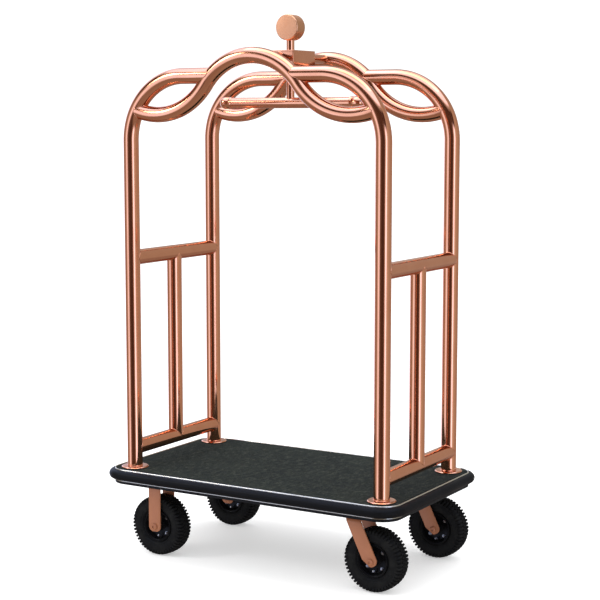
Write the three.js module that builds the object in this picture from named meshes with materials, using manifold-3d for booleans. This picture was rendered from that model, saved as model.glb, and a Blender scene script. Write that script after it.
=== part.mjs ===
// Hotel luggage cart with a birdcage frame, as an assembly of separate pieces.
// Millimetres. X runs along the deck, Y across it (the front long side is -Y), Z up from the floor.
// The origin is on the floor under the middle of the deck.
import * as THREE from 'three';
import { mergeVertices } from 'three/addons/utils/BufferGeometryUtils.js';
import Module from 'manifold-3d';

// ---- Driving dimensions -------------------------------------------------------------------
const GAP = 0.3;                 // clearance between pieces that touch
const TUBE_R = 25.4;             // two-inch frame tube
const TUBE_SIDES = 16;
const TYRE_SIDES = 28;
const RIM_SIDES = 20;
const RING_SIDES = 18;           // flanges and swivel races
const DRUM_SIDES = 32;

const POST_X = 465;              // posts' axes, from the middle of the deck
const POST_Y = 236;
const ARCH_Z = 1578;             // axis of the horizontal end of each post
const ARCH_BEND_R = 206;

const CREST_Z = 1639;            // axis of a wave tube at its middle
const TROUGH_Z = 1456;           // axis of a wave tube at its two lowest points
const TROUGH_X = 357;
const CREST_R = 210;             // bend radius of the crest
const WAVE_END_X = 438;          // where a wave tube's axis meets a post's axis

const LOWER_RAIL_Z = 354;
const UPPER_RAIL_Z = 989;

const BOX_X = 104;               // crown box
const BOX_Y = 138;
const BOX_BOTTOM_Z = 1610;
const BOX_TOP_Z = 1660;
const NECK_R = 15;               // short tubes from the crown box to the waves
const STEM_R = 13;               // finial stem and hanger rod

const DRUM_R = 41;               // finial drum
const DRUM_DEPTH = 50;
const DRUM_Z = 1734;
const DRUM_BEVEL = 2.5;

const HANGING_RAIL_Z = 1494;
const HANGING_RAIL_R = 17.5;
const HANGING_RAIL_HALF = 228;
const CAP_R = 19.8;
const CAP_LENGTH = 41;

const DECK_HALF_X = 530;         // middle of the bright trim round the deck's top edge
const DECK_HALF_Y = 301;
const DECK_CORNER_R = 64;
const BUMPER_BULGE = 21.5;       // how far the rubber stands out past the trim
const BUMPER_BOTTOM_Z = 252.3;
const BUMPER_TOP_Z = 285.5;
const TRIM_WIDTH = 4;
const PAN_OUTSET = 1.2;          // outside of the pan's skirt, outwards from the trim's middle
const PAN_BOTTOM_Z = 240;        // lower edge of the pan's skirt
const PAN_TOP_Z = 252;
const PAN_SHEET = 2;
const BOARD_INSET = 5;
const BOARD_TOP_Z = 279;
const CARPET_INSET = 2.4;
const CARPET_TOP_Z = 287.5;
const STIFFENER_LENGTH = 500;
const STIFFENER_HALF_WIDTH = 22;
const STIFFENER_DEPTH = 10;
const STIFFENER_MIDDLES = { left: -170, right: 130 };
const FLANGE_R = 45;             // round foot flange of a post
const FLANGE_T = 5.5;

const CASTER_X = 370;            // middle of each caster's mounting plate
const CASTER_Y = 219;
const SWIVEL_TRAIL = 69;         // swivel axis to wheel axle
const WHEEL_R = 100;
const TYRE_HALF_WIDTH = 33.5;
const FORK_HALF_WIDTH = 42;      // outer faces of the fork legs
const FORK_STRIP = 5.5;          // thickness of the fork's steel strip
const LEG_HALF = 23;             // half the width of a fork leg
const LEG_END_R = 18;
const SWIVEL_CROWN_Z = 230;      // top of the swivel fork's crown
const RIGID_CROWN_Z = 243.7;     // top of the rigid fork's crown
const PLATE_X = 112;
const PLATE_Y = 100;
const PLATE_BOTTOM_Z = 244;
const PLATE_T = 5.6;
const AXLE_R = 6;
const KINGPIN_R = 6;
const HEX_SIDES = 6;
const HEX_R = 11;                // bolt heads and nuts, across the corners

// ---- Finishes -----------------------------------------------------------------------------
const FINISHES = {
  roseGold: { color: 0xc98468, roughness: 0.22, metalness: 1.0 },
  forkGold: { color: 0xb97355, roughness: 0.34, metalness: 1.0 },
  brightTrim: { color: 0xc9cbcd, roughness: 0.25, metalness: 1.0 },
  carpet: { color: 0x23282a, roughness: 0.95, metalness: 0.0 },
  plywood: { color: 0x9b7a52, roughness: 0.75, metalness: 0.0 },
  bumper: { color: 0x131316, roughness: 0.45, metalness: 0.0 },
  blackSteel: { color: 0x17181a, roughness: 0.5, metalness: 0.6 },
  tyre: { color: 0x121313, roughness: 0.85, metalness: 0.0 },
  rim: { color: 0x0c0c0d, roughness: 0.35, metalness: 0.5 },
  zinc: { color: 0xaeb1b3, roughness: 0.35, metalness: 1.0 },
};

const cart = new THREE.Group();

function addPiece(name, geometry, finish, parent = cart) {
  const mesh = new THREE.Mesh(geometry, new THREE.MeshStandardMaterial(FINISHES[finish]));
  mesh.name = name;
  parent.add(mesh);
  return mesh;
}

// ---- Joining and cutting ------------------------------------------------------------------
const wasm = await Module();
wasm.setup();

function toSolid(geometry) {
  const bare = geometry.clone();
  bare.deleteAttribute('normal');
  bare.deleteAttribute('uv');
  const merged = mergeVertices(bare, 1e-4);
  return new wasm.Manifold(new wasm.Mesh({
    numProp: 3,
    vertProperties: new Float32Array(merged.attributes.position.array),
    triVerts: new Uint32Array(merged.index.array),
  }));
}

function toGeometry(solid) {
  const mesh = solid.getMesh();
  const geometry = new THREE.BufferGeometry();
  geometry.setAttribute('position', new THREE.BufferAttribute(mesh.vertProperties, 3));
  geometry.setIndex(new THREE.BufferAttribute(mesh.triVerts, 1));
  geometry.computeVertexNormals();
  return geometry;
}

function cut(geometry, ...cutters) {
  const subtract = (solid, cutter) => solid.subtract(toSolid(cutter));
  return toGeometry(cutters.reduce(subtract, toSolid(geometry)));
}

function join(first, ...others) {
  return toGeometry(others.reduce((solid, other) => solid.add(toSolid(other)), toSolid(first)));
}

function common(first, second) {
  return toGeometry(toSolid(first).intersect(toSolid(second)));
}

// ---- Basic shapes -------------------------------------------------------------------------
function rod(radius, length, axis, sides = TUBE_SIDES) {
  const geometry = new THREE.CylinderGeometry(radius, radius, length, sides);
  if (axis === 'x') geometry.rotateZ(Math.PI / 2);
  if (axis === 'z') geometry.rotateX(Math.PI / 2);
  return geometry;
}

function rodBetween(radius, low, high, axis, at, sides = TUBE_SIDES) {
  const geometry = rod(radius, high - low, axis, sides);
  const middle = (low + high) / 2;
  return geometry.translate(axis === 'x' ? middle : at[0], axis === 'y' ? middle : at[1],
    axis === 'z' ? middle : at[2]);
}

function boxBetween(low, high) {
  const size = high.map((value, i) => value - low[i]);
  return new THREE.BoxGeometry(...size).translate(...high.map((value, i) => (value + low[i]) / 2));
}

// A turned shape about the Y axis. Each profile point is [radius, distance along the axis].
function latheAround(profile, sides, startAngle = 0) {
  const points = profile.map(([r, along]) => new THREE.Vector2(r, along));
  return new THREE.LatheGeometry(points, sides, startAngle);
}

function regularPolygon(radius, sides) {
  const corner = (_, i) => new THREE.Vector2(
    radius * Math.cos((2 * Math.PI * i) / sides), radius * Math.sin((2 * Math.PI * i) / sides));
  return new THREE.Shape(Array.from({ length: sides }, corner));
}

// A path whose stations are given one by one, so a straight run takes a single step.
class StationPath extends THREE.Curve {
  constructor(stations) {
    super();
    this.stations = stations;
  }

  getPointAt(u, target = new THREE.Vector3()) {
    const place = u * (this.stations.length - 1);
    const i = Math.min(Math.floor(place + 1e-6), this.stations.length - 2);
    return target.lerpVectors(this.stations[i], this.stations[i + 1], place - i);
  }

  getTangentAt(u, target = new THREE.Vector3()) {
    const last = this.stations.length - 1;
    const i = Math.round(u * last);
    const before = this.stations[i].clone().sub(this.stations[Math.max(i - 1, 0)]).normalize();
    const after = this.stations[Math.min(i + 1, last)].clone().sub(this.stations[i]).normalize();
    return target.copy(before).add(after).normalize();
  }
}

function tubeAlong(stations, radius) {
  return new THREE.ExtrudeGeometry(regularPolygon(radius, TUBE_SIDES), {
    extrudePath: new StationPath(stations), steps: stations.length - 1, bevelEnabled: false,
  });
}

// Points of an arc in an XZ plane at the given y, angles measured from +X towards +Z.
function arcStations(centre, radius, from, to, steps, y) {
  return Array.from({ length: steps + 1 }, (_, i) => {
    const angle = from + ((to - from) * i) / steps;
    return new THREE.Vector3(centre[0] + radius * Math.cos(angle), y, centre[1] + radius * Math.sin(angle));
  });
}

// Outline of a rounded rectangle with its outward normals, anticlockwise.
function deckOutline(halfX, halfY, cornerR, stepsPerCorner = 6) {
  const stations = [];
  const corners = [[1, 1], [-1, 1], [-1, -1], [1, -1]];
  corners.forEach(([sx, sy], quarter) => {
    for (let i = 0; i <= stepsPerCorner; i += 1) {
      const angle = (quarter + i / stepsPerCorner) * (Math.PI / 2);
      const normal = new THREE.Vector2(Math.cos(angle), Math.sin(angle));
      const centre = new THREE.Vector2(sx * (halfX - cornerR), sy * (halfY - cornerR));
      stations.push({ normal, point: normal.clone().multiplyScalar(cornerR).add(centre) });
    }
  });
  return stations;
}

function deckShape(inset) {
  const outline = deckOutline(DECK_HALF_X - inset, DECK_HALF_Y - inset, DECK_CORNER_R - inset);
  return new THREE.Shape(outline.map((station) => station.point));
}

function slab(shape, low, high) {
  return new THREE.ExtrudeGeometry(shape, { depth: high - low, bevelEnabled: false }).translate(0, 0, low);
}

// A closed band round the deck. Each profile point is [distance outside the trim line, height].
function deckBand(profile) {
  const outline = deckOutline(DECK_HALF_X, DECK_HALF_Y, DECK_CORNER_R);
  const count = profile.length;
  const positions = outline.flatMap(({ point, normal }) => profile.flatMap(([out, z]) => [
    point.x + normal.x * out, point.y + normal.y * out, z]));
  const indices = [];
  outline.forEach((_, i) => {
    const next = ((i + 1) % outline.length) * count;
    profile.forEach((__, j) => {
      const k = (j + 1) % count;
      const [a, b, c, d] = [i * count + j, next + j, next + k, i * count + k];
      indices.push(a, b, c, a, c, d);
    });
  });
  const geometry = new THREE.BufferGeometry();
  geometry.setAttribute('position', new THREE.Float32BufferAttribute(positions, 3));
  geometry.setIndex(indices);
  geometry.computeVertexNormals();
  return geometry;
}

// ---- Deck ---------------------------------------------------------------------------------
const CORNERS = [
  { name: 'front_left', sx: -1, sy: -1 },
  { name: 'front_right', sx: 1, sy: -1 },
  { name: 'rear_left', sx: -1, sy: 1 },
  { name: 'rear_right', sx: 1, sy: 1 },
];

function buildPan() {
  const floor = slab(deckShape(-PAN_OUTSET), PAN_TOP_Z - PAN_SHEET, PAN_TOP_Z);
  const skirtInside = PAN_OUTSET - PAN_SHEET;
  const skirt = deckBand([
    [PAN_OUTSET, PAN_BOTTOM_Z], [PAN_OUTSET, PAN_TOP_Z],
    [skirtInside, PAN_TOP_Z], [skirtInside, PAN_BOTTOM_Z]]);
  addPiece('deck_pan', join(floor, skirt), 'blackSteel');

  const half = STIFFENER_HALF_WIDTH;
  const innerHalf = half - PAN_SHEET;
  const innerDepth = STIFFENER_DEPTH - PAN_SHEET;
  const channel = new THREE.Shape([
    [-half, 0], [-innerHalf, 0], [-innerHalf, innerDepth], [innerHalf, innerDepth],
    [innerHalf, 0], [half, 0], [half, STIFFENER_DEPTH], [-half, STIFFENER_DEPTH],
  ].map(([x, z]) => new THREE.Vector2(x, z)));
  for (const [name, x] of Object.entries(STIFFENER_MIDDLES)) {
    const stiffener = new THREE.ExtrudeGeometry(channel, { depth: STIFFENER_LENGTH, bevelEnabled: false });
    stiffener.rotateX(Math.PI / 2);
    stiffener.translate(x, STIFFENER_LENGTH / 2, PAN_TOP_Z - PAN_SHEET - GAP - STIFFENER_DEPTH);
    addPiece(`pan_stiffener_${name}`, stiffener, 'blackSteel');
  }
}

function buildDeck() {
  addPiece('deck_board', slab(deckShape(BOARD_INSET), PAN_TOP_Z + GAP, BOARD_TOP_Z), 'plywood');

  const overlap = 1;             // how far the hole cutters stand out of the carpet
  const postHoles = CORNERS.map(({ sx, sy }) => rodBetween(
    TUBE_R + GAP, BOARD_TOP_Z - overlap, CARPET_TOP_Z + overlap, 'z', [sx * POST_X, sy * POST_Y, 0]));
  const pile = slab(deckShape(CARPET_INSET), BOARD_TOP_Z + GAP, CARPET_TOP_Z);
  addPiece('carpet', cut(pile, ...postHoles), 'carpet');

  // The bumper's back is stepped: it lies against the board's edge and under the upper trim.
  const inside = -BOARD_INSET + GAP;
  const lip = TRIM_WIDTH / 2;
  const shoulder = BUMPER_BULGE * 0.72;
  addPiece('bumper', deckBand([
    [inside, BUMPER_BOTTOM_Z], [lip, BUMPER_BOTTOM_Z], [shoulder, BUMPER_BOTTOM_Z + 5],
    [BUMPER_BULGE, BUMPER_BOTTOM_Z + 13], [BUMPER_BULGE, BUMPER_TOP_Z - 14.5],
    [shoulder, BUMPER_TOP_Z - 5.5], [lip, BUMPER_TOP_Z], [-lip, BUMPER_TOP_Z],
    [-lip, BOARD_TOP_Z], [inside, BOARD_TOP_Z]]), 'bumper');

  const topLow = BUMPER_TOP_Z + GAP;
  const topHigh = topLow + 3;
  addPiece('trim_top', deckBand([
    [-lip, topLow], [lip, topLow], [lip * 0.7, topHigh], [-lip * 0.7, topHigh]]), 'brightTrim');

  const stripIn = PAN_OUTSET + GAP;
  const stripOut = stripIn + 2;
  const stripHigh = BUMPER_BOTTOM_Z - GAP;
  const stripLow = stripHigh - 2.5;
  addPiece('trim_bottom', deckBand([
    [stripIn, stripLow], [stripOut, stripLow], [stripOut, stripHigh], [stripIn, stripHigh]]), 'brightTrim');
}

// ---- Birdcage frame -----------------------------------------------------------------------
function postStations(sx, sy) {
  const bendX = POST_X - ARCH_BEND_R;
  const bendZ = ARCH_Z - ARCH_BEND_R;
  const drop = ARCH_Z - (CREST_Z - CREST_R);
  const endX = Math.sqrt(CREST_R ** 2 - drop ** 2);
  const half = [
    new THREE.Vector3(POST_X, 0, BOARD_TOP_Z + GAP),
    ...arcStations([bendX, bendZ], ARCH_BEND_R, 0, Math.PI / 2, 9, 0),
    new THREE.Vector3(endX, 0, ARCH_Z)];
  return half.map((station) => new THREE.Vector3(sx * station.x, sy * POST_Y, station.z));
}

function waveStations(y) {
  const fall = CREST_Z - TROUGH_Z;
  const troughR = (TROUGH_X ** 2 + fall ** 2) / (2 * fall) - CREST_R;
  const turn = Math.atan2(TROUGH_X, CREST_R + troughR - fall);
  const endTurn = Math.asin((WAVE_END_X - TROUGH_X) / troughR);
  const crest = arcStations([0, CREST_Z - CREST_R], CREST_R, Math.PI / 2, Math.PI / 2 - turn, 6, y);
  const trough = arcStations([TROUGH_X, TROUGH_Z + troughR], troughR,
    1.5 * Math.PI - turn, 1.5 * Math.PI + endTurn, 8, y);
  const half = [...crest, ...trough.slice(1)];
  const mirrored = half.slice(1).reverse().map(({ x, z }) => new THREE.Vector3(-x, y, z));
  return [...mirrored, ...half];
}

function buildPosts() {
  // Only the crest of the wave trims a post's arch: further out it is the post that trims the wave.
  const crestReach = POST_X - ARCH_BEND_R;
  const crestRegion = boxBetween(
    [-crestReach, -2 * POST_Y, TROUGH_Z], [crestReach, 2 * POST_Y, CREST_Z + CREST_R]);
  for (const { name, sx, sy } of CORNERS) {
    const post = tubeAlong(postStations(sx, sy), TUBE_R);
    const wave = tubeAlong(waveStations(sy * POST_Y), TUBE_R + GAP);
    addPiece(`post_${name}`, cut(post, common(wave, crestRegion)), 'roseGold');

    const boreR = TUBE_R + 3 * GAP;
    const flange = latheAround([
      [boreR, 0], [FLANGE_R, 0], [FLANGE_R, 2], [FLANGE_R - 2.5, 4], [boreR + 2, FLANGE_T],
      [boreR, FLANGE_T], [boreR, 0]], RING_SIDES);
    flange.rotateX(Math.PI / 2).translate(sx * POST_X, sy * POST_Y, CARPET_TOP_Z + GAP);
    addPiece(`post_flange_${name}`, flange, 'roseGold');
  }
}

function buildWaveTubes() {
  const lowerBend = 7;           // stations of a post up to the part that the wave's end meets
  for (const [name, sy] of [['front', -1], ['rear', 1]]) {
    const wave = tubeAlong(waveStations(sy * POST_Y), TUBE_R);
    const posts = [-1, 1].map((sx) => tubeAlong(postStations(sx, sy).slice(0, lowerBend), TUBE_R + GAP));
    addPiece(`wave_tube_${name}`, cut(wave, ...posts), 'roseGold');
  }
}

function buildEndRails() {
  const margin = 3 * TUBE_R;     // how far a cutter runs past the tubes that it trims
  for (const [side, sx] of [['left', -1], ['right', 1]]) {
    const x = sx * POST_X;
    const postCutters = [-1, 1].map((sy) => rodBetween(
      TUBE_R + GAP, LOWER_RAIL_Z - margin / 2, UPPER_RAIL_Z + margin, 'z', [x, sy * POST_Y, 0]));
    for (const [level, z] of [['lower', LOWER_RAIL_Z], ['upper', UPPER_RAIL_Z]]) {
      const rail = rodBetween(TUBE_R, -POST_Y, POST_Y, 'y', [x, 0, z]);
      addPiece(`${level}_rail_${side}`, cut(rail, ...postCutters), 'roseGold');
    }
    const railCutters = [LOWER_RAIL_Z, UPPER_RAIL_Z].map((z) => rodBetween(
      TUBE_R + GAP, -margin, margin, 'y', [x, 0, z]));
    const baluster = rodBetween(TUBE_R, LOWER_RAIL_Z, UPPER_RAIL_Z, 'z', [x, 0, 0]);
    addPiece(`baluster_${side}`, cut(baluster, ...railCutters), 'roseGold');
  }
}

// ---- Crown, finial and hanging rail ---------------------------------------------------------
function buildCrown() {
  const box = new THREE.Shape([[-1, -1], [1, -1], [1, 1], [-1, 1]]
    .map(([sx, sy]) => new THREE.Vector2((sx * BOX_X) / 2, (sy * BOX_Y) / 2)));
  addPiece('crown_box', slab(box, BOX_BOTTOM_Z, BOX_TOP_Z), 'roseGold');

  for (const [name, sy] of [['front', -1], ['rear', 1]]) {
    const [low, high] = [sy * (BOX_Y / 2 + GAP), sy * POST_Y].sort((a, b) => a - b);
    const neck = rodBetween(NECK_R, low, high, 'y', [0, 0, CREST_Z]);
    const waveCutter = tubeAlong(waveStations(sy * POST_Y).slice(10, -10), TUBE_R + GAP);
    addPiece(`crown_neck_${name}`, cut(neck, waveCutter), 'roseGold');
  }

  const drumProfile = [
    [0, -DRUM_DEPTH / 2], [DRUM_R - DRUM_BEVEL, -DRUM_DEPTH / 2], [DRUM_R, DRUM_BEVEL - DRUM_DEPTH / 2],
    [DRUM_R, DRUM_DEPTH / 2 - DRUM_BEVEL], [DRUM_R - DRUM_BEVEL, DRUM_DEPTH / 2], [0, DRUM_DEPTH / 2]];
  addPiece('finial_drum', latheAround(drumProfile, DRUM_SIDES).translate(0, 0, DRUM_Z), 'roseGold');
  const drumCutter = rodBetween(DRUM_R + GAP, -DRUM_DEPTH, DRUM_DEPTH, 'y', [0, 0, DRUM_Z], DRUM_SIDES);
  const stem = rodBetween(STEM_R, BOX_TOP_Z + GAP, DRUM_Z, 'z', [0, 0, 0]);
  addPiece('finial_stem', cut(stem, drumCutter), 'roseGold');

  const railCutter = rodBetween(HANGING_RAIL_R + GAP, -3 * STEM_R, 3 * STEM_R, 'x', [0, 0, HANGING_RAIL_Z]);
  const hanger = rodBetween(STEM_R, HANGING_RAIL_Z, BOX_BOTTOM_Z - GAP, 'z', [0, 0, 0]);
  addPiece('hanger_rod', cut(hanger, railCutter), 'roseGold');
  const rail = rodBetween(
    HANGING_RAIL_R, -HANGING_RAIL_HALF, HANGING_RAIL_HALF, 'x', [0, 0, HANGING_RAIL_Z]);
  addPiece('hanging_rail', rail, 'roseGold');

  const capStraight = CAP_LENGTH - CAP_R;
  const dome = Array.from({ length: 5 }, (_, i) => {
    const angle = (i / 5) * (Math.PI / 2);
    return [CAP_R * Math.cos(angle), capStraight + CAP_R * Math.sin(angle)];
  });
  const capProfile = [[0, 0], [CAP_R - 2, 0], [CAP_R, 2], ...dome, [0, CAP_LENGTH]];
  for (const [name, sx] of [['left', -1], ['right', 1]]) {
    const cap = latheAround(capProfile, TUBE_SIDES).rotateZ(-sx * (Math.PI / 2));
    cap.translate(sx * (HANGING_RAIL_HALF + GAP), 0, HANGING_RAIL_Z);
    addPiece(`hanging_rail_cap_${name}`, cap, 'roseGold');
  }
}

// ---- Casters ------------------------------------------------------------------------------
// Across the wheel the fork is one strip bent into an inverted U.
function forkSection(crownTop) {
  const outerR = 14;             // bend radius at the crown's two shoulders
  const innerR = outerR - FORK_STRIP;
  const half = FORK_HALF_WIDTH;
  const shape = new THREE.Shape();
  shape.moveTo(-half, 0);
  shape.lineTo(-half + FORK_STRIP, 0);
  shape.lineTo(-half + FORK_STRIP, crownTop - outerR);
  shape.absarc(-half + outerR, crownTop - outerR, innerR, Math.PI, Math.PI / 2, true);
  shape.lineTo(half - outerR, crownTop - FORK_STRIP);
  shape.absarc(half - outerR, crownTop - outerR, innerR, Math.PI / 2, 0, true);
  shape.lineTo(half - FORK_STRIP, 0);
  shape.lineTo(half, 0);
  shape.lineTo(half, crownTop - outerR);
  shape.absarc(half - outerR, crownTop - outerR, outerR, 0, Math.PI / 2, false);
  shape.lineTo(-half + outerR, crownTop);
  shape.absarc(-half + outerR, crownTop - outerR, outerR, Math.PI / 2, Math.PI, false);
  return shape;
}

// Side view of a fork. The leg runs from the crown down to the axle at x = trail. Its lower end is round,
// and a swivel fork's end has its rear corner cut off straight instead.
function forkSide(crownTop, trail) {
  const crownMiddle = trail ? 6 : 0;
  const top = new THREE.Vector2(crownMiddle, crownTop);
  const axle = new THREE.Vector2(trail, WHEEL_R);
  const down = axle.clone().sub(top).normalize();
  const across = new THREE.Vector2(-down.y, down.x);
  const at = (side, along) => axle.clone().addScaledVector(across, side).addScaledVector(down, along);
  const pastCrown = -axle.distanceTo(top) - 14;
  const quarterRound = (sign) => Array.from({ length: 7 }, (_, i) => {
    const angle = (i / 6) * (Math.PI / 2);
    const side = LEG_HALF - LEG_END_R + LEG_END_R * Math.cos(angle);
    return at(sign * side, LEG_END_R * Math.sin(angle) - 1);
  });
  const rearEnd = trail ? [at(-LEG_HALF, -16), at(-7, 16)] : quarterRound(-1);
  const frontEnd = quarterRound(1).reverse();
  return new THREE.Shape([at(-LEG_HALF, pastCrown), ...rearEnd, ...frontEnd, at(LEG_HALF, pastCrown)]);
}

function forkGeometry(crownTop, trail) {
  const spread = 240;            // longer than any fork, front to back
  const strip = new THREE.ExtrudeGeometry(forkSection(crownTop), {
    depth: spread, bevelEnabled: false, curveSegments: 4,
  });
  strip.applyMatrix4(new THREE.Matrix4().makeBasis(
    new THREE.Vector3(0, 1, 0), new THREE.Vector3(0, 0, 1), new THREE.Vector3(1, 0, 0)));
  strip.translate(-spread / 2, 0, 0);
  const width = 2 * FORK_HALF_WIDTH + 10;
  const side = new THREE.ExtrudeGeometry(forkSide(crownTop, trail), { depth: width, bevelEnabled: false });
  side.rotateX(Math.PI / 2);
  side.translate(0, width / 2, 0);
  const axleHole = rodBetween(AXLE_R + GAP, -width, width, 'y', [trail, 0, WHEEL_R]);
  const fork = cut(common(strip, side), axleHole);
  if (!trail) return fork;
  const kingpinHole = rodBetween(
    KINGPIN_R + GAP, crownTop - 2 * FORK_STRIP, crownTop + FORK_STRIP, 'z', [0, 0, 0]);
  return cut(fork, kingpinHole);
}

// A wheel piece's profile is the same on both sides of its middle plane.
function mirroredProfile(half) {
  return [...half, ...half.map(([r, y]) => [r, -y]).reverse(), half[0]];
}

function addWheel(name, wheel) {
  const bead = 48;
  const treadR = WHEEL_R / Math.cos(Math.PI / TYRE_SIDES);   // a flat of the tread lies on the floor
  const tyre = mirroredProfile([
    [bead, -22.9], [54.5, -23], [60, -28.5], [70, -TYRE_HALF_WIDTH], [86, -TYRE_HALF_WIDTH], [94.5, -31],
    [treadR, -21]]);
  addPiece(`tyre_${name}`, latheAround(tyre, TYRE_SIDES, Math.PI / TYRE_SIDES), 'tyre', wheel);

  const hubEnd = FORK_HALF_WIDTH - FORK_STRIP - 1.1;
  const rim = mirroredProfile([
    [AXLE_R + GAP, -hubEnd], [13, -hubEnd], [15, -12], [19, -7], [36, -7], [42, -19], [50, -26.5],
    [bead + 5, -26.5], [bead + 5, -23.5], [bead - 1, -23.3]]);
  addPiece(`rim_${name}`, latheAround(rim, RIM_SIDES), 'rim', wheel);
}

// The bolt's head is at the -Y side of the fork and its nut at the +Y side.
function addAxle(name, wheel) {
  const faceY = FORK_HALF_WIDTH + GAP;
  const headHeight = 7.2;
  const nutHeight = 8.7;
  const boltEnd = faceY + nutHeight + 3;
  const middle = [0, 0, 0];
  const shank = rodBetween(AXLE_R, -faceY - headHeight / 2, boltEnd, 'y', middle);
  const head = rodBetween(HEX_R, -faceY - headHeight, -faceY, 'y', middle, HEX_SIDES);
  addPiece(`axle_bolt_${name}`, join(shank, head), 'forkGold', wheel);
  const nut = rodBetween(HEX_R, faceY, faceY + nutHeight, 'y', middle, HEX_SIDES);
  const nutHole = rodBetween(AXLE_R + GAP, 0, 2 * boltEnd, 'y', middle);
  addPiece(`axle_nut_${name}`, cut(nut, nutHole), 'zinc', wheel);
}

// The raceway above the fork's crown, with the kingpin through the crown and its nut below.
function addSwivelRace(name, caster) {
  const crownTop = SWIVEL_CROWN_Z + GAP;
  const crownUnder = SWIVEL_CROWN_Z - FORK_STRIP - GAP;
  const nutBottom = crownUnder - 10;
  const nutR = 10;
  const raceR = 36;
  const race = [
    [0, nutBottom], [nutR, nutBottom], [nutR, crownUnder], [KINGPIN_R, crownUnder], [KINGPIN_R, crownTop],
    [raceR - 5, crownTop], [raceR, crownTop + 4], [raceR, crownTop + 8],
    [raceR - 6, PLATE_BOTTOM_Z - GAP], [0, PLATE_BOTTOM_Z - GAP]];
  addPiece(`swivel_race_${name}`, latheAround(race, RING_SIDES).rotateX(Math.PI / 2), 'forkGold', caster);
}

function buildCasters() {
  for (const { name, sx, sy } of CORNERS) {
    const swivels = sx > 0;
    const trail = swivels ? SWIVEL_TRAIL : 0;
    const caster = new THREE.Group();
    caster.position.set(sx * CASTER_X, sy * CASTER_Y, 0);
    cart.add(caster);

    const plate = boxBetween([-PLATE_X / 2, -PLATE_Y / 2, PLATE_BOTTOM_Z],
      [PLATE_X / 2, PLATE_Y / 2, PLATE_BOTTOM_Z + PLATE_T]);
    addPiece(`caster_plate_${name}`, plate, 'forkGold', caster);
    const crownTop = swivels ? SWIVEL_CROWN_Z : RIGID_CROWN_Z;
    addPiece(`fork_${name}`, forkGeometry(crownTop, trail), 'forkGold', caster);
    if (swivels) addSwivelRace(name, caster);
    const wheel = new THREE.Group();
    wheel.position.set(trail, 0, WHEEL_R);
    caster.add(wheel);
    addWheel(name, wheel);
    addAxle(name, wheel);
  }
}

buildPan();
buildDeck();
buildPosts();
buildWaveTubes();
buildEndRails();
buildCrown();
buildCasters();

export default cart;
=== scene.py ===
import math
from functools import partial

import bmesh
import bpy
import numpy as np
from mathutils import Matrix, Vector


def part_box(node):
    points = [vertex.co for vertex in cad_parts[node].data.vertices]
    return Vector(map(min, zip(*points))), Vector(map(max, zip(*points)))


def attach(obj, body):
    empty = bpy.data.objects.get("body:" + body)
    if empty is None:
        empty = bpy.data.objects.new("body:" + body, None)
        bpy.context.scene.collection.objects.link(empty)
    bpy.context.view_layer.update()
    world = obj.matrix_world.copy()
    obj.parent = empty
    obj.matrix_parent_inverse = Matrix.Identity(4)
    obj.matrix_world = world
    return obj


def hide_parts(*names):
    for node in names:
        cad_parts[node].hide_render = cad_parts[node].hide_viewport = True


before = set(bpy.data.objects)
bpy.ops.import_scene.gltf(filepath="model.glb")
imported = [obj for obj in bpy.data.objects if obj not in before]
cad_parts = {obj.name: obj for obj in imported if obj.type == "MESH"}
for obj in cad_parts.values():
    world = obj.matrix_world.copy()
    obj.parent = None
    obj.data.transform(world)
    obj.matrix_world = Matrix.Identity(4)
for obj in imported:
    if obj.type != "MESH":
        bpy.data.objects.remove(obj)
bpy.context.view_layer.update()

# Hotel luggage cart: the looks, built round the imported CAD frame. Metres, in the same frame.
TAU = 2 * math.pi
MM = 0.001
ROOT = "cart_frame"
CORNERS = ("front_left", "front_right", "rear_left", "rear_right")
SWIVELLING = ("front_right", "rear_right")
LEFT_RIGHT = (("left", -1), ("right", 1))
FRONT_REAR = (("front", -1), ("rear", 1))


# ---- Sizes and places, read from the frame ----
def span(node, axis):
    """Lowest and highest value of a CAD node along an axis."""
    low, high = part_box(node)
    return low[axis], high[axis]


def middle(node):
    low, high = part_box(node)
    return (low + high) / 2


def half_width(node, axis):
    low, high = span(node, axis)
    return (high - low) / 2


def side_of(name):
    """Signs of X and Y at a corner."""
    return (1 if name.endswith("right") else -1), (1 if name.startswith("rear") else -1)


X, Y, Z = 0, 1, 2
UP, DOWN = (0, 0, 1), (0, 0, -1)
FORWARD, BACK = (0, -1, 0), (0, 1, 0)
TUBE_R = half_width("baluster_right", X)
POST_X = middle("baluster_right")[X]
POST_Y = middle("post_rear_right")[Y]
FOOT_Z = span("post_front_right", Z)[0]
ARCH_Z = span("post_front_right", Z)[1] - TUBE_R
ARCH_BEND_R = 206 * MM
CREST_Z = span("wave_tube_front", Z)[1] - TUBE_R
TROUGH_Z = span("wave_tube_front", Z)[0] + TUBE_R
TROUGH_X = 357 * MM
CREST_R = 210 * MM
WAVE_END_X = 438 * MM
LOWER_RAIL_Z = middle("lower_rail_right")[Z]
UPPER_RAIL_Z = middle("upper_rail_right")[Z]
HANGING_RAIL_Z = middle("hanging_rail")[Z]
CARPET_TOP_Z = span("carpet", Z)[1]
TRIM_R = 2 * MM                    # the top trim is half a round of this radius, centred on the trim line
DECK_HALF_X = half_width("trim_top", X) - TRIM_R
DECK_HALF_Y = half_width("trim_top", Y) - TRIM_R
DECK_CORNER_R = 64 * MM
WHEEL_R = middle("rim_front_left")[Z]
FORK_HALF_WIDTH = half_width("fork_front_left", Y)
LEG_HALF = half_width("fork_front_left", X)
FORK_STRIP = 5.5 * MM
SWIVEL_TRAIL = middle("rim_front_right")[X] - middle("caster_plate_front_right")[X]


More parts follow.
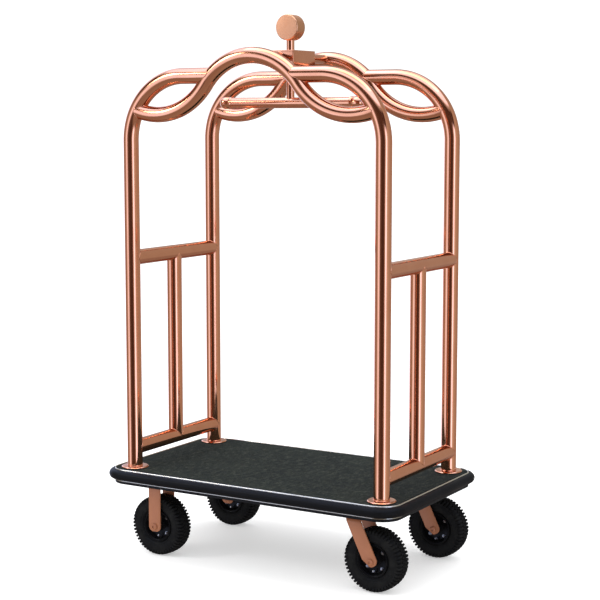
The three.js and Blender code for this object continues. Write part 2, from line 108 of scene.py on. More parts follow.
# ---- Mesh building ----
class Shape:
    """Vertices, faces and each vertex's grain, along whose third part the brush lines run."""

    def __init__(self):
        self.points = []
        self.faces = []
        self.grain = []

    def add(self, points, faces, grain=None):
        start = sum(len(block) for block in self.points)
        points = np.asarray(points, float).reshape(-1, 3)
        self.points.append(points)
        self.faces += [[start + i for i in face] for face in faces]
        self.grain.append(points if grain is None else np.asarray(grain, float).reshape(-1, 3))
        return self

    def merge(self, other):
        return self.add(np.concatenate(other.points), other.faces, np.concatenate(other.grain))


def loft(rings, grain=None, closed=False, caps=True):
    """A skin over rings with the same number of points, with a flat cap at each end."""
    rings = np.asarray(rings, float)
    count, size = rings.shape[:2]
    faces = []
    for i in range(count if closed else count - 1):
        this, following = i * size, ((i + 1) % count) * size
        for j in range(size):
            k = (j + 1) % size
            faces.append([this + j, this + k, following + k, following + j])
    if caps and not closed:
        faces.append(list(range(size)))
        faces.append([(count - 1) * size + j for j in range(size)])
    return Shape().add(rings, faces, grain)


def at_height(points, z):
    """Points of a plan at a height."""
    return np.column_stack([points, np.full(len(points), z)])


def on_circle(centre, radius, angles):
    return np.stack([centre[0] + radius * np.cos(angles), centre[1] + radius * np.sin(angles)], axis=1)


def arc(centre, radius, start, stop, steps):
    """Points of an arc in a plane, angles from the first axis towards the second."""
    return on_circle(centre, radius, np.linspace(start, stop, steps + 1))


def frames_along(path, closed=False):
    """Unit tangents and two unit normals at each point of a path, without twist."""
    path = np.asarray(path, float)
    if closed:
        tangents = np.roll(path, -1, axis=0) - np.roll(path, 1, axis=0)
    else:
        tangents = np.gradient(path, axis=0)
    tangents /= np.linalg.norm(tangents, axis=1, keepdims=True)
    side = np.cross(tangents[0], [0.0, 0.0, 1.0])
    if np.linalg.norm(side) < 0.1:
        side = np.cross(tangents[0], [0.0, 1.0, 0.0])
    sides = []
    for tangent in tangents:
        side = side - tangent * side.dot(tangent)
        side /= np.linalg.norm(side)
        sides.append(side)
    sides = np.array(sides)
    return tangents, sides, np.cross(tangents, sides)


def grain_along(path, section):
    """Grain of a bar: each point of its section, then the distance along its path."""
    along = np.concatenate([[0], np.cumsum(np.linalg.norm(np.diff(path, axis=0), axis=1))])
    grain = np.empty((len(path), len(section), 3))
    grain[:, :, :2] = section
    grain[:, :, 2] = along[:, None]
    return grain


def tube(path, radius, sides, closed=False):
    """A round bar along a path, its grain running along it."""
    path = np.asarray(path, float)
    _, first, second = frames_along(path, closed)
    ring = polygon(radius, sides)
    rings = path[:, None] + ring[None, :, :1] * first[:, None] + ring[None, :, 1:] * second[:, None]
    return loft(rings, grain_along(path, ring), closed)


def straight(start, stop, steps):
    return np.linspace(start, stop, steps + 1)


def turned(profile, origin, axis, segments=64):
    """A solid of revolution whose grain runs round it. Profile points are (radius, distance along the axis).
    They start and end on the axis, or else they close on themselves."""
    axis = Vector(axis).normalized()
    first = axis.orthogonal().normalized()
    second = axis.cross(first)
    profile = np.asarray(profile, float)
    angles = np.linspace(0, TAU, segments, endpoint=False)
    radial = np.cos(angles)[:, None] * np.array(first) + np.sin(angles)[:, None] * np.array(second)
    solid = profile[0][0] < 1e-7
    body = profile[1:-1] if solid else profile
    rings = (np.array(origin) + body[:, 1][:, None, None] * np.array(axis)
             + body[:, 0][:, None, None] * radial[None])
    grain = np.empty(rings.shape)
    grain[:, :, :2] = body[:, None]
    grain[:, :, 2] = 0.2 * np.sin(angles)
    shape = loft(rings, grain, closed=not solid, caps=False)
    if not solid:
        return shape
    last = (len(body) - 1) * segments
    tips = np.array([np.array(origin) + profile[i][1] * np.array(axis) for i in (0, -1)])
    low, high = len(body) * segments, len(body) * segments + 1
    fans = [[low, (j + 1) % segments, j] for j in range(segments)]
    fans += [[high, last + j, last + (j + 1) % segments] for j in range(segments)]
    tip_grain = [[0, profile[0][1], 0], [0, profile[-1][1], 0]]
    return Shape().add(np.concatenate([rings.reshape(-1, 3), tips]), shape.faces + fans,
                       np.concatenate([grain.reshape(-1, 3), tip_grain]))


def rounded(points, radius, steps=4, closed=False):
    """The same line with its corners rounded by arcs, as large as their neighbours allow."""
    points = [np.asarray(point, float) for point in points]
    count = len(points)
    result = []
    for i, point in enumerate(points):
        if not closed and i in (0, count - 1):
            result.append(point)
            continue
        before, after = points[i - 1], points[(i + 1) % count]
        back, on = before - point, after - point
        reach_back, reach_on = np.linalg.norm(back), np.linalg.norm(on)
        back, on = back / reach_back, on / reach_on
        cosine = float(np.clip(back.dot(on), -1, 1))
        if cosine < -0.985:
            result.append(point)
            continue
        half = math.acos(cosine) / 2
        trim = min(radius / math.tan(half), 0.45 * reach_back, 0.45 * reach_on)
        for t in np.linspace(0, 1, steps + 1):
            start, stop = point + back * trim, point + on * trim
            result.append((1 - t) ** 2 * start + 2 * t * (1 - t) * point + t ** 2 * stop)
    return np.array(result)


def inset(points, amount, closed=True):
    """A line moved to its left by amount, corners mitred. Amount may differ from point to point."""
    points = np.asarray(points, float)
    after = np.roll(points, -1, axis=0) - points
    after /= np.maximum(np.linalg.norm(after, axis=1, keepdims=True), 1e-9)
    normals = np.stack([-after[:, 1], after[:, 0]], axis=1)
    before = np.roll(normals, 1, axis=0)
    if not closed:
        normals[-1] = before[-1]
        before[0] = normals[0]
    mitre = (before + normals) / np.maximum(1 + (before * normals).sum(axis=1, keepdims=True), 0.3)
    return points + amount * mitre


def bevel_steps(bevel, thickness, steps=3):
    """(depth, inset) of each layer of a plate with rounded edges, from one face to the other."""
    angles = np.linspace(0, math.pi / 2, steps + 1)
    low = [(bevel * (1 - math.cos(a)), bevel * (1 - math.sin(a))) for a in angles]
    return low + [(thickness - depth, side) for depth, side in reversed(low)]


def plate(outline, low, high, bevel, placed=lambda points: points):
    """A flat piece with an anticlockwise outline and rounded edges, lying between two heights."""
    layers = [at_height(inset(outline, side), low + depth) for depth, side in bevel_steps(bevel, high - low)]
    return loft(placed(np.array(layers)))


def rectangle(half_x, half_y, corner, centre=(0, 0)):
    corners = np.array([[half_x, -half_y], [half_x, half_y], [-half_x, half_y], [-half_x, -half_y]])
    return rounded(corners, corner, 5, closed=True) + np.array(centre)


def polygon(radius, sides, centre=(0, 0)):
    return on_circle(centre, radius, np.linspace(0, TAU, sides, endpoint=False))


def standing_on(origin, axis):
    """Moves points from a plane z = 0 to a plane through origin, with z along axis."""
    axis = Vector(axis).normalized()
    first = axis.orthogonal().normalized()
    basis = np.array([first, axis.cross(first), axis])
    return lambda points: np.asarray(points) @ basis + np.array(origin)


def mm(values):
    """Millimetres as metres."""
    return np.array(values) * MM


def hex_bolt(origin, axis, across, height, washer=None, shank=None):
    """A hexagon head with a chamfered top, on an optional washer (radius, thickness) and with an optional
    shank end (radius, length) above it. Its sizes are in millimetres."""
    across, height = mm((across, height))
    place = standing_on(origin, axis)
    shape = Shape()
    base = 0.0
    if washer:
        radius, base = mm(washer)
        shape.merge(plate(polygon(radius, 32), 0, base, 0.25 * base, place))
    hexagon = rounded(polygon(across / 2, 6), 0.06 * across, 2, closed=True)
    layers = [(base, 0.0), (base + 0.8 * height, 0.0), (base + 0.93 * height, 0.03 * across),
              (base + height, 0.10 * across)]
    shape.merge(loft(place(np.array([at_height(inset(hexagon, side), z) for z, side in layers]))))
    if shank:
        radius, length = mm(shank)
        tip = base + height + length
        end = rounded([(0, 0), (radius, 0), (radius, tip), (0, tip)], 0.3 * radius, 3)
        shape.merge(turned(end, origin, axis, 24))
    return shape


def resampled(line, count):
    """The same line with count points, spread evenly over its own."""
    line = np.asarray(line, float)
    where = np.linspace(0, len(line) - 1, count)
    columns = [np.interp(where, range(len(line)), line[:, k]) for k in range(line.shape[1])]
    return np.stack(columns, axis=1)


def seam(branch, main, radius, main_radius, bead):
    """A weld bead where a branch tube, running towards its end, meets the surface of a main tube."""
    branch, main = np.asarray(branch, float), np.asarray(main, float)
    centres, first, second = (
        resampled(values, SEAM_STATIONS) for values in (branch, *frames_along(branch)[1:]))
    line = []
    for angle in np.linspace(0, TAU, SEAM_POINTS, endpoint=False):
        surface = centres + radius * (math.cos(angle) * first + math.sin(angle) * second)
        distance = distance_to(surface, main) - main_radius
        outside = np.nonzero(distance > 0)[0]
        last = outside[-1] if len(outside) else 0
        if last >= len(surface) - 1:
            line.append(surface[-1])
            continue
        share = distance[last] / (distance[last] - distance[last + 1])
        line.append(surface[last] + share * (surface[last + 1] - surface[last]))
    neighbours = range(-SEAM_EASE, SEAM_EASE + 1)
    eased = sum(np.roll(np.array(line), step, axis=0) for step in neighbours) / len(neighbours)
    return tube(eased, bead, 10, closed=True)


def distance_to(points, path):
    """Distance of each point to a polyline."""
    nearest = np.full(len(points), np.inf)
    for start, stop in zip(path[:-1], path[1:]):
        step = stop - start
        share = np.clip((points - start) @ step / step.dot(step), 0, 1)
        nearest = np.minimum(nearest, np.linalg.norm(points - start - share[:, None] * step, axis=1))
    return nearest


MATERIALS = {}


def add_object(name, data):
    made = bpy.data.objects.new(name, data)
    bpy.context.scene.collection.objects.link(made)
    return made


def piece(name, shape, slot="rose_gold", body=ROOT, replaces=None, sharp_above=40, look=None):
    """A Blender object from a shape. It rides on a CAD body and has its slot's material, or another look."""
    mesh = bpy.data.meshes.new(name)
    points = np.concatenate(shape.points)
    mesh.from_pydata(points.tolist(), [], shape.faces)
    attribute = mesh.attributes.new("grain", "FLOAT_VECTOR", "POINT")
    attribute.data.foreach_set("vector", np.concatenate(shape.grain).astype(np.float32).ravel())
    builder = bmesh.new()
    builder.from_mesh(mesh)
    bmesh.ops.recalc_face_normals(builder, faces=builder.faces)
    builder.to_mesh(mesh)
    builder.free()
    mesh.shade_smooth()
    mesh.set_sharp_from_angle(angle=math.radians(sharp_above))
    mesh.materials.append(MATERIALS[look or slot])
    made = add_object(name, mesh)
    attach(made, body)
    if replaces:
        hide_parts(replaces)


# ---- Materials ----
def add_node(tree, kind, inputs=None, **settings):
    """A shader node. Its inputs are plain values or the outputs of other nodes."""
    made = tree.nodes.new("ShaderNode" + kind)
    for key, value in settings.items():
        setattr(made, key, value)
    for key, value in (inputs or {}).items():
        if isinstance(value, bpy.types.NodeSocket):
            tree.links.new(value, made.inputs[key])
        else:
            made.inputs[key].default_value = value
    return made


def ranged(node, value, source, low=0.0, high=1.0):
    """The value, with its range from source brought to low and high."""
    made = node("MapRange", {
        "Value": value, "From Min": source[0], "From Max": source[1], "To Min": low, "To Max": high})
    return made.outputs["Result"]


def combined(node, operation, first, second):
    """What a math operation makes of two values or outputs."""
    return node("Math", {0: first, 1: second}, operation=operation).outputs[0]


class Finish:
    """A principled material and short ways to add procedural nodes to it."""

    def __init__(self, slot, colour, roughness, metallic=0.0, **sockets):
        self.material = bpy.data.materials.new(slot)
        self.material.use_nodes = True
        self.tree = self.material.node_tree
        self.node = partial(add_node, self.tree)
        self.between = partial(ranged, self.node)
        self.add = partial(combined, self.node, "ADD")
        self.times = partial(combined, self.node, "MULTIPLY")
        self.shader = self.tree.nodes["Principled BSDF"]
        sockets.update(Base_Color=(*colour, 1), Roughness=roughness, Metallic=metallic)
        for socket, value in sockets.items():
            self.shader.inputs[socket.replace("_", " ")].default_value = value
        MATERIALS[slot] = self.material

    def place(self, stretch=(1, 1, 1), grain=False):
        """The mesh's own coordinates, or its grain coordinates, scaled along each axis."""
        if grain:
            source = self.node("Attribute", attribute_name="grain").outputs["Vector"]
        else:
            source = self.node("TexCoord").outputs["Object"]
        return self.node("Mapping", {"Vector": source, "Scale": stretch}).outputs["Vector"]

    def noise(self, scale, detail=3.0, roughness=0.55, stretch=(1, 1, 1), grain=False):
        where = self.place(stretch, grain)
        made = self.node("TexNoise", {
            "Vector": where, "Scale": scale, "Detail": detail, "Roughness": roughness})
        return made.outputs["Fac"]

    def blend(self, share, first, second):
        """A colour between two colours, or colour sockets."""
        ends = [end if isinstance(end, bpy.types.NodeSocket) else (*end, 1) for end in (first, second)]
        return self.node("Mix", {0: share, 6: ends[0], 7: ends[1]}, data_type="RGBA").outputs[2]

    def drive(self, socket, output):
        self.tree.links.new(output, self.shader.inputs[socket])

    def colour(self, output):
        self.drive("Base Color", output)

    def roughness(self, output):
        self.drive("Roughness", output)

    def bump(self, height, distance):
        self.drive("Normal", self.node("Bump", {"Height": height, "Distance": distance}).outputs["Normal"])


def brushed(slot, colour, dark, roughness, brush, depth, metallic=1.0):
    """Polished and brushed metal: fine lines along the grain, faint smears and a slightly clouded colour."""
    finish = Finish(slot, colour, roughness, metallic)
    lines = finish.noise(brush, 2.0, 0.6, (1, 1, 0.012), grain=True)
    smears = finish.noise(14.0, 4.0, 0.6, (1, 1, 0.6))
    pores = finish.noise(900.0, 1.0)
    finish.colour(finish.blend(finish.between(smears, (0.35, 0.75)), colour, dark))
    smeared = finish.between(smears, (0.3, 0.75), -0.03, 0.06)
    lined = finish.between(lines, (0.3, 0.7), roughness - 0.05, roughness + 0.07)
    finish.roughness(finish.add(smeared, lined))
    finish.bump(finish.add(lines, finish.times(pores, 0.3)), depth)


def make_materials():
    brushed("rose_gold", (0.83, 0.37, 0.20), (0.78, 0.33, 0.175), 0.11, 1400.0, 0.000006)
    brushed("satin_gold", (0.72, 0.36, 0.185), (0.68, 0.33, 0.17), 0.40, 1400.0, 0.00002)
    brushed("fork_steel", (0.36, 0.138, 0.064), (0.30, 0.112, 0.052), 0.42, 900.0, 0.00004, 0.25)
    brushed("bright_trim", (0.70, 0.65, 0.53), (0.60, 0.56, 0.46), 0.26, 1600.0, 0.00001)
    brushed("zinc_nut", (0.55, 0.56, 0.57), (0.42, 0.42, 0.44), 0.34, 1200.0, 0.00003)

    carpet = Finish("carpet", (0.020, 0.028, 0.027), 0.95, Sheen_Weight=0.04, Sheen_Roughness=0.5,
                    Specular_IOR_Level=0.08)
    tufts = carpet.node("TexVoronoi", {"Vector": carpet.place(), "Scale": 330.0}).outputs["Distance"]
    fibres = carpet.noise(1500.0, 3.0, 0.7)
    traffic = carpet.between(carpet.noise(5.0, 4.0, 0.6), (0.3, 0.7))
    shade = carpet.blend(traffic, (0.004, 0.0075, 0.0065), (0.010, 0.015, 0.0115))
    mottle = carpet.noise(42.0, 5.0, 0.85, (1.3, 0.7, 1))
    yarn = carpet.add(carpet.noise(420.0, 2.0, 0.8), carpet.times(mottle, 1.6))
    carpet.colour(carpet.blend(carpet.between(yarn, (1.31, 1.64)), shade, (0.052, 0.058, 0.043)))
    carpet.bump(carpet.add(carpet.times(tufts, -1.0), carpet.times(fibres, 0.6)), 0.0011)

    wood = Finish("plywood", (0.46, 0.31, 0.17), 0.7)
    plies = wood.noise(6.0, 3.0, stretch=(1, 1, 140))
    wood.colour(wood.blend(wood.between(plies, (0.35, 0.65)), (0.50, 0.34, 0.19), (0.30, 0.19, 0.10)))
    wood.bump(plies, 0.0002)

    black = (0.005, 0.005, 0.006)
    rubber = Finish("bumper_rubber", black, 0.44, Specular_IOR_Level=0.08)
    cloud = rubber.noise(9.0, 4.0, 0.6)
    grit = rubber.noise(1100.0, 2.0)
    scuffs = rubber.between(rubber.noise(60.0, 5.0, 0.75, (1, 1, 9)), (0.62, 0.78))
    rubber.colour(rubber.blend(scuffs, black, (0.016, 0.016, 0.018)))
    rubber.roughness(rubber.add(rubber.between(cloud, (0.3, 0.7), 0.40, 0.52), rubber.times(scuffs, 0.2)))
    rubber.bump(rubber.add(grit, rubber.times(scuffs, 0.8)), 0.00008)

    black = (0.006, 0.006, 0.007)
    powder = Finish("black_steel", black, 0.45, Specular_IOR_Level=0.15)
    peel = powder.noise(420.0, 2.0)
    dust = powder.between(powder.noise(24.0, 5.0, 0.7), (0.55, 0.8))
    powder.colour(powder.blend(dust, black, (0.022, 0.021, 0.020)))
    powder.roughness(powder.between(peel, (0.3, 0.7), 0.36, 0.54))
    powder.bump(peel, 0.00012)

    tyre = Finish("tyre_rubber", (0.005, 0.005, 0.005), 0.66, Specular_IOR_Level=0.15)
    grime = tyre.noise(38.0, 5.0, 0.65)
    skin = tyre.noise(1300.0, 2.0)
    grey = tyre.between(grime, (0.45, 0.75))
    tyre.colour(tyre.blend(grey, (0.0045, 0.0045, 0.0045), (0.012, 0.012, 0.011)))
    tyre.roughness(tyre.between(grime, (0.3, 0.7), 0.60, 0.82))
    tyre.bump(skin, 0.00012)

    black = (0.003, 0.003, 0.0035)
    rim = Finish("rim_black", black, 0.30, Specular_IOR_Level=0.12)
    flow = rim.noise(260.0, 2.0)
    road_dust = rim.between(rim.noise(45.0, 5.0, 0.7), (0.55, 0.85))
    rim.colour(rim.blend(road_dust, black, (0.012, 0.011, 0.010)))
    rim.roughness(rim.add(rim.between(flow, (0.3, 0.7), 0.24, 0.36), rim.times(road_dust, 0.3)))
    rim.bump(flow, 0.00006)


# ---- Birdcage frame ----
def in_plane(points, y):
    """Points of an XZ plane at the given y."""
    return np.column_stack([points[:, 0], np.full(len(points), y), points[:, 1]])


def post_path(sx, sy):
    bend = (POST_X - ARCH_BEND_R, ARCH_Z - ARCH_BEND_R)
    end_x = math.sqrt(CREST_R ** 2 - (ARCH_Z - CREST_Z + CREST_R) ** 2)
    rise = straight((POST_X, FOOT_Z), (POST_X, bend[1]), 12)[:-1]
    curve = arc(bend, ARCH_BEND_R, 0, math.pi / 2, 40)
    flat = straight((bend[0], ARCH_Z), (end_x, ARCH_Z), 5)[1:]
    path = np.concatenate([rise, curve, flat])
    path[:, 0] *= sx
    return in_plane(path, sy * POST_Y)


def wave_path(sy):
    fall = CREST_Z - TROUGH_Z
    trough_r = (TROUGH_X ** 2 + fall ** 2) / (2 * fall) - CREST_R
    turn = math.atan2(TROUGH_X, CREST_R + trough_r - fall)
    end_turn = math.asin((WAVE_END_X - TROUGH_X) / trough_r)
    crest = arc((0, CREST_Z - CREST_R), CREST_R, math.pi / 2, math.pi / 2 - turn, 40)
    trough = arc((TROUGH_X, TROUGH_Z + trough_r), trough_r,
                 1.5 * math.pi - turn, 1.5 * math.pi + end_turn, 50)[1:]
    half = np.concatenate([crest, trough])
    mirrored = half[:0:-1] * np.array([-1, 1])
    return in_plane(np.concatenate([mirrored, half]), sy * POST_Y)


BEAD_R = 1.5 * MM
THIN_BEAD_R = 1.2 * MM             # on the thinner tubes of the crown
SEAM_STATIONS = 400                # places along a branch where its surface is compared with the main tube
SEAM_POINTS = 72
SEAM_EASE = 3                      # neighbours on each side that round a weld line's corners


def frame_seam(branch, main):
    return seam(branch, main, TUBE_R, TUBE_R, BEAD_R)


def build_birdcage():
    welds = Shape()
    for name in CORNERS:
        sx, sy = side_of(name)
        post = post_path(sx, sy)
        piece(f"post_tube_{name}", tube(post, TUBE_R, 56), replaces=f"post_{name}")
        welds.merge(frame_seam(post[30:], wave_path(sy)))

        low, high = span(f"post_flange_{name}", Z)
        outer = half_width(f"post_flange_{name}", Y)
        thick = high - low
        ring = rounded([(TUBE_R - MM, 0), (outer, 0), (outer, 0.5 * thick), (outer - 3 * MM, 0.86 * thick),
                        (TUBE_R + 2.5 * MM, thick), (TUBE_R - MM, thick)], 1.2 * MM, 4, closed=True)
        foot = (sx * POST_X, sy * POST_Y, low)
        piece(f"foot_flange_{name}", turned(ring, foot, UP, 80), replaces=f"post_flange_{name}")
        welds.merge(tube(at_height(polygon(TUBE_R, 72, foot[:2]), high), BEAD_R, 10, closed=True))

    for name, sy in FRONT_REAR:
        wave = wave_path(sy)
        piece(f"wave_{name}", tube(wave, TUBE_R, 56), replaces=f"wave_tube_{name}")
        half = len(wave) // 2
        for sx, end in ((1, wave[half:]), (-1, wave[half::-1])):
            welds.merge(frame_seam(end, post_path(sx, sy)[8:40]))

    for side, sx in LEFT_RIGHT:
        x = sx * POST_X
        rails = {}
        for level, z in (("lower", LOWER_RAIL_Z), ("upper", UPPER_RAIL_Z)):
            rails[level] = straight((x, -POST_Y, z), (x, POST_Y, z), 8)
            piece(f"end_rail_{level}_{side}", tube(rails[level], TUBE_R, 56),
                  replaces=f"{level}_rail_{side}")
            for sy in (-1, 1):
                half_rail = straight((x, 0, z), (x, sy * POST_Y, z), 8)
                post = straight((x, sy * POST_Y, z - 0.1), (x, sy * POST_Y, z + 0.1), 1)
                welds.merge(frame_seam(half_rail, post))
        upright = straight((x, 0, LOWER_RAIL_Z), (x, 0, UPPER_RAIL_Z), 8)
        piece(f"centre_baluster_{side}", tube(upright, TUBE_R, 56), replaces=f"baluster_{side}")
        welds.merge(frame_seam(upright[::-1], rails["lower"]))
        welds.merge(frame_seam(upright, rails["upper"]))
    piece("frame_welds", welds)


# ---- Crown, finial and hanging rail ----
def build_crown():
    low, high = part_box("crown_box")
    outline = rectangle(high[X], high[Y], 3 * MM)
    piece("crown_block", plate(outline, low[Z], high[Z], 2 * MM), replaces="crown_box")

    welds = Shape()
    neck_r = half_width("crown_neck_front", Z)
    for name, sy in FRONT_REAR:
        neck = straight((0, sy * (high[Y] - 2 * MM), CREST_Z), (0, sy * POST_Y, CREST_Z), 6)
        piece(f"neck_tube_{name}", tube(neck, neck_r, 40), replaces=f"crown_neck_{name}")
        welds.merge(seam(neck, wave_path(sy), neck_r, TUBE_R, BEAD_R))
        collar = (neck_r, 0) + mm([(-1, -2), (2.5, -2), (2.5, 3), (-1, 5)])
        collar = rounded(collar, 1.2 * MM, 4, closed=True)
        welds.merge(turned(collar, (0, sy * high[Y], CREST_Z), (0, sy, 0), 48))

    drum = middle("finial_drum")
    drum_r = half_width("finial_drum", X)
    depth = span("finial_drum", Y)[1]
    face = [(0, -depth), (drum_r - 2.4 * MM, -depth), (drum_r, -depth + 2.4 * MM)]
    back = [(r, -y) for r, y in reversed(face)]
    piece("finial", turned(rounded(face + back, MM, 4), drum, BACK, 128),
          replaces="finial_drum", look="satin_gold")
    stem_r = half_width("finial_stem", X)
    drum_path = straight(drum - Vector((0, depth, 0)), drum + Vector((0, depth, 0)), 2)
    stem = straight((0, 0, high[Z] - 2 * MM), (0, 0, drum[Z]), 6)
    piece("finial_post", tube(stem, stem_r, 40), replaces="finial_stem")
    welds.merge(seam(stem, drum_path, stem_r, drum_r, THIN_BEAD_R))

    rail_r = half_width("hanging_rail", Y)
    rail_half = span("hanging_rail", X)[1]
    rail = straight((-rail_half, 0, HANGING_RAIL_Z), (rail_half, 0, HANGING_RAIL_Z), 8)
    piece("garment_rail", tube(rail, rail_r, 48), replaces="hanging_rail")
    hanger = straight((0, 0, low[Z] + 2 * MM), (0, 0, HANGING_RAIL_Z), 6)
    piece("hanger_stem", tube(hanger, stem_r, 40), replaces="hanger_rod")
    welds.merge(seam(hanger, rail, stem_r, rail_r, THIN_BEAD_R))
    for z in (high[Z], low[Z]):
        welds.merge(tube(at_height(polygon(stem_r, 48), z), 1.6 * MM, 10, closed=True))
    piece("crown_welds", welds)

    cap_r = half_width("hanging_rail_cap_left", Y)
    cap_length = span("hanging_rail_cap_right", X)[1] - rail_half
    for side, sx in LEFT_RIGHT:
        dome = arc((0, cap_length - cap_r), cap_r, 0, math.pi / 2, 16)
        skirt = (cap_r, 0) + mm([(-1.6, -6), (0, -4.4), (0, 3), (-0.5, 3.6), (0, 4.2)])
        cap = turned([(0, skirt[0][1]), *skirt, *dome], (sx * rail_half, 0, HANGING_RAIL_Z), (sx, 0, 0), 48)
        piece(f"rail_cap_{side}", cap, replaces=f"hanging_rail_cap_{side}")


# ---- Deck ----
SHEET = 2 * MM                     # of the pan, the stiffeners and the lower trim
TRIM_JOINT = 0.4 * MM
BUMPER_JOINT = 0.7 * MM


def deck_line():
    """Points and outward normals of the trim line, anticlockwise, from the middle of the rear side."""
    points, normals = [(0.0, DECK_HALF_Y)], [(0.0, 1.0)]
    centre = np.array([DECK_HALF_X - DECK_CORNER_R, DECK_HALF_Y - DECK_CORNER_R])
    for quarter, signs in enumerate(((-1, 1), (-1, -1), (1, -1), (1, 1)), 1):
        corner = arc((0, 0), 1, quarter * math.pi / 2, (quarter + 1) * math.pi / 2, 14)
        points.extend(signs * centre + DECK_CORNER_R * corner)
        normals.extend(corner)
    return np.array(points + points[:1]), np.array(normals + normals[:1])


def deck_band(profile, joint_gap=0.0):
    """A band round the deck. Profile points are (distance outside the trim line, height). With a joint gap
    it is a strip whose two ends almost meet behind the deck, and without one it is a closed ring."""
    points, normals = deck_line()
    profile = np.asarray(profile, float)
    if not joint_gap:
        points, normals = points[:-1], normals[:-1]
    rings = np.empty((len(points), len(profile), 3))
    rings[:, :, :2] = points[:, None] + normals[:, None] * profile[None, :, :1]
    rings[:, :, 2] = profile[None, :, 1]
    if joint_gap:
        rings[0, :, 0] -= joint_gap / 2
        rings[-1, :, 0] += joint_gap / 2
    return loft(rings, grain_along(points, profile), closed=not joint_gap)


def square_to_rounded(u, v, half_x, half_y, corner):
    """Maps a grid over [-1, 1] squared onto a rectangle with round corners."""
    x, y = u * half_x, v * half_y
    across = np.clip((np.abs(x) - half_x + corner) / corner, 0, 1)
    up = np.clip((np.abs(y) - half_y + corner) / corner, 0, 1)
    both = (across > 0) & (up > 0)
    round_x = half_x - corner + corner * across * np.sqrt(1 - up ** 2 / 2)
    round_y = half_y - corner + corner * up * np.sqrt(1 - across ** 2 / 2)
    return np.where(both, np.sign(x) * round_x, x), np.where(both, np.sign(y) * round_y, y)


def carpet_shape():
    """A thin slab whose top face is a fine grid of short tufts of uneven height, with a rolled edge."""
    pitch = 2.6 * MM
    edge = 2.4 * MM
    half_x, half_y, corner = DECK_HALF_X - edge, DECK_HALF_Y - edge, DECK_CORNER_R - edge
    columns, rows = round(2 * half_x / pitch), round(2 * half_y / pitch)
    u, v = np.meshgrid(np.linspace(-1, 1, columns + 1), np.linspace(-1, 1, rows + 1), indexing="ij")
    x, y = square_to_rounded(u, v, half_x, half_y, corner)
    random = np.random.default_rng(7)
    tufts = random.uniform(-1, 0, x.shape)
    waves = 0.5 * np.sin(9 * x + 4 * y) * np.sin(7 * y - 3 * x) - 0.5
    border = (np.abs(u) == 1) | (np.abs(v) == 1)
    near = np.minimum((1 - np.abs(u)) * columns / 2, (1 - np.abs(v)) * rows / 2)
    roll = np.clip(near / 2, 0, 1)
    z = CARPET_TOP_Z + 0.55 * MM * tufts * roll + 0.15 * MM * waves - 0.9 * MM * (1 - roll) ** 2
    jitter = 0.32 * pitch
    x = x + np.where(border, 0, random.uniform(-jitter, jitter, x.shape))
    y = y + np.where(border, 0, random.uniform(-jitter, jitter, y.shape))
    top = np.stack([x, y, z], axis=2).reshape(-1, 3)
    index = np.arange(top.shape[0]).reshape(x.shape)
    quads = np.stack([index[:-1, :-1], index[1:, :-1], index[1:, 1:], index[:-1, 1:]], axis=2).reshape(-1, 4)
    edge_loop = np.concatenate([index[:, 0], index[-1, 1:], index[-2::-1, -1], index[0, -2:0:-1]])
    bottom = top[edge_loop].copy()
    bottom[:, 2] = span("carpet", Z)[0]
    low = len(top) + np.arange(len(edge_loop))
    sides = np.stack([edge_loop, low, np.roll(low, -1), np.roll(edge_loop, -1)], axis=1)
    return Shape().add(np.concatenate([top, bottom]), quads.tolist() + sides.tolist() + [low.tolist()])


def upright_strip(outside, low, high):
    """Section of a strip of sheet metal that stands round the deck."""
    inside = outside - SHEET
    return rounded([(inside, low), (outside, low), (outside, high), (inside, high)], 0.8 * MM, 4, closed=True)


def build_deck():
    piece("carpet_pile", carpet_shape(), "carpet", replaces="carpet", sharp_above=180)

    low, high = span("bumper", Z)
    bulge = span("bumper", X)[1] - DECK_HALF_X
    board_out = span("deck_board", X)[1] - DECK_HALF_X
    centre_z, half_z = (low + high) / 2, (high - low) / 2
    nose = [(TRIM_R + (bulge - TRIM_R) * math.cos(a), centre_z + half_z * math.sin(a))
            for a in np.linspace(-math.pi / 2, math.pi / 2, 22)]
    inside = board_out + 0.3 * MM
    board_top = span("deck_board", Z)[1]
    profile = [(inside, low)] + nose + [(-TRIM_R, high), (-TRIM_R, board_top), (inside, board_top)]
    piece("bumper_extrusion", deck_band(profile, BUMPER_JOINT), "bumper_rubber", replaces="bumper")

    low, high = span("trim_top", Z)
    half_round = [(TRIM_R * math.cos(a), low + (high - low) * math.sin(a))
                  for a in np.linspace(0, math.pi, 12)]
    piece("top_trim", deck_band(half_round, TRIM_JOINT), "bright_trim", replaces="trim_top")
    low, high = span("trim_bottom", Z)
    out = span("trim_bottom", X)[1] - DECK_HALF_X
    piece("bottom_trim", deck_band(upright_strip(out, low, high), TRIM_JOINT), "bright_trim",
          replaces="trim_bottom")

    low, high = span("deck_pan", Z)
    out = span("deck_pan", X)[1] - DECK_HALF_X
    points, normals = deck_line()
    floor_line = (points + normals * (out - SHEET / 2))[:-1]
    pan = deck_band(upright_strip(out, low, high))
    pan.merge(plate(floor_line, high - SHEET, high - 0.1 * MM, 0.2 * MM))
    piece("pan_pressing", pan, "black_steel", replaces="deck_pan")
    build_underside(high - SHEET)


